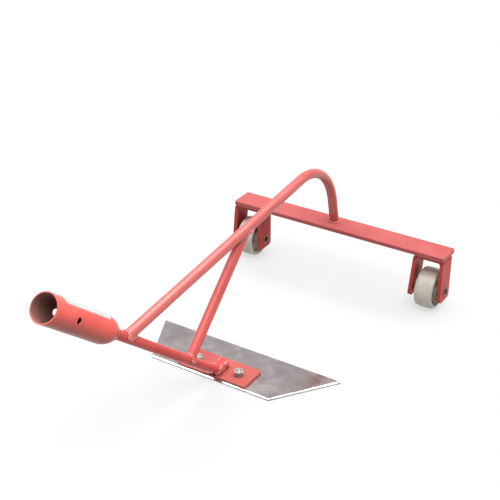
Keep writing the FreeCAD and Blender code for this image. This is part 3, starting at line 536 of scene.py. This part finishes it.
def melt(piece, ripples):
    """Melt a piece's lumps into one another and ripple its skin."""
    remesh = piece.modifiers.new("melt", "REMESH")
    remesh.mode = "VOXEL"
    remesh.voxel_size = MELT_VOXEL
    remesh.use_smooth_shade = True
    smooth = piece.modifiers.new("flow", "SMOOTH")
    smooth.factor = FLOW_FACTOR
    smooth.iterations = FLOW_PASSES
    ripple = piece.modifiers.new("ripple", "DISPLACE")
    ripple.texture = ripples
    ripple.texture_coords = "LOCAL"
    ripple.strength = RIPPLE_HEIGHT


def finish_welds():
    """Every weld gets thick paint and a melted, rippled shape."""
    paint = weld_paint()
    ripples = bpy.data.textures.new("weld_ripples", "CLOUDS")
    ripples.noise_scale = RIPPLE_SIZE
    ripples.noise_depth = 1
    beads = [make_knee_bead(side, paint) for side in SIDES]
    for node in WELDS:
        wear(node, paint)
        beads.append(NODES[node])
    for piece in beads:
        melt(piece, ripples)


# ---------------------------------------------------------------- fasteners, wheels, label

def finish_hardware():
    wear("blade", blade_steel())
    bright = plated("zinc_bright", 0.34, 0.3, TARNISH_PALE, 0.34, 0.50)
    dull = plated("zinc_dull", 0.40, 0.7, TARNISH_BROWN, 0.36, 0.60)
    brown = plated("rivet_steel", 0.22, 0.9, RIVET_RUST, 0.40, 0.62)
    for node in ("blade_screws", "blade_nuts", "blade_washers"):
        wear(node, bright)
    for side in SIDES:
        wear("axle_" + side, brown)
        wear("spacer_" + side, dull)
        wear("wheel_washer_" + side, dull)
        wear("wheel_" + side, wheel_nylon(side))
    wear("socket_label", label_film())


# ---------------------------------------------------------------- stage

FLOOR_SIZE = 60.0
FLOOR_WHITE = grey(0.135)
FLOOR_MOTTLE = grey(0.130, 0.002)
FLOOR_LIGHT = grey(1.0)
FLOOR_GLOW = 0.64
FLOOR_GRAIN = 400   # size of the floor's mottling in millimetres
RING_LAMPS = 6
RING_TILT = math.radians(31)
RING_SPREAD = math.radians(27)
RING_RIGHT = 1.94   # strength of the lamp at the tool's right
RING_LEFT = 1.21    # strength of the lamp at its left
SKY_FRONT = 0.06
SKY_BACK = 0.58
SKY_TURN = (-0.9, 0.6)   # Y of the directions where the front's and the back's strength are reached


def make_floor():
    """A pale floor that glows a little, so that shadows on it stay light."""
    low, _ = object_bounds()
    mesh = bpy.data.meshes.new("floor")
    edge = FLOOR_SIZE / 2
    corners = [(-edge, -edge), (edge, -edge), (edge, edge), (-edge, edge)]
    mesh.from_pydata([(x, y, low.z) for x, y in corners], [], [(0, 1, 2, 3)])
    floor = add_object("floor", mesh)
    tree = Tree("floor_white")
    mottle = tree.noise(tree.place(), FLOOR_GRAIN, detail=2)
    colour = tree.mix(mottle, FLOOR_WHITE, FLOOR_MOTTLE)
    mesh.materials.append(tree.finish(
        Base_Color=colour, Roughness=0.9, Specular_IOR_Level=0.1,
        Emission_Color=FLOOR_LIGHT, Emission_Strength=FLOOR_GLOW))


def make_sky():
    """A plain studio dome, dim in front of the tool and brighter behind it."""
    world = bpy.data.worlds.new("studio")
    bpy.context.scene.world = world
    world.use_nodes = True
    nodes, links = world.node_tree.nodes, world.node_tree.links
    nodes.clear()
    direction = nodes.new("ShaderNodeTexCoord").outputs["Generated"]
    forward = nodes.new("ShaderNodeSeparateXYZ")
    links.new(direction, forward.inputs[0])
    level = nodes.new("ShaderNodeMapRange")
    links.new(forward.outputs["Y"], level.inputs["Value"])
    limits = {"From Min": SKY_TURN[0], "From Max": SKY_TURN[1], "To Min": SKY_FRONT, "To Max": SKY_BACK}
    for name, value in limits.items():
        level.inputs[name].default_value = value
    background = nodes.new("ShaderNodeBackground")
    links.new(level.outputs[0], background.inputs["Strength"])
    output = nodes.new("ShaderNodeOutputWorld")
    links.new(background.outputs[0], output.inputs["Surface"])


def make_softboxes():
    """A ring of wide sun lamps overhead, brighter on the tool's right, open at the zenith so
    that the flat blade doesn't mirror a lamp when it is seen from above."""
    for number in range(RING_LAMPS):
        turn = 2 * math.pi * number / RING_LAMPS
        towards = Vector((math.cos(turn) * math.sin(RING_TILT),
                          math.sin(turn) * math.sin(RING_TILT), math.cos(RING_TILT)))
        rightness = (1 + math.cos(turn)) / 2
        light = bpy.data.lights.new(f"softbox_{number}", "SUN")
        light.energy = RING_LEFT + (RING_RIGHT - RING_LEFT) * rightness
        light.angle = RING_SPREAD
        lamp = add_object(f"softbox_{number}", light)
        lamp.rotation_mode = "QUATERNION"
        lamp.rotation_quaternion = towards.to_track_quat("Z", "Y")


CAMERA_AZIMUTH = math.radians(32.26)
CAMERA_ELEVATION = math.radians(28.63)
CAMERA_DISTANCE = 1.25726
CAMERA_TARGET = Vector((-0.03279, 0.09760, 0.10000))
CAMERA_LENS = 79.17
CAMERA_SENSOR = 36.0


def make_camera():
    """The camera at the photograph's viewing angle."""
    data = bpy.data.cameras.new("camera")
    data.lens = CAMERA_LENS
    data.sensor_width = CAMERA_SENSOR
    camera = add_object("camera", data)
    level = math.cos(CAMERA_ELEVATION)
    back = Vector((math.sin(CAMERA_AZIMUTH) * level, -math.cos(CAMERA_AZIMUTH) * level,
                   math.sin(CAMERA_ELEVATION)))
    camera.location = CAMERA_TARGET + back * CAMERA_DISTANCE
    camera.rotation_mode = "QUATERNION"
    camera.rotation_quaternion = back.to_track_quat("Z", "Y")
    bpy.context.scene.camera = camera


make_camera()
make_floor()
make_sky()
make_softboxes()
finish_frame()
finish_welds()
finish_hardware()
bpy.context.scene.view_settings.view_transform = "Standard"
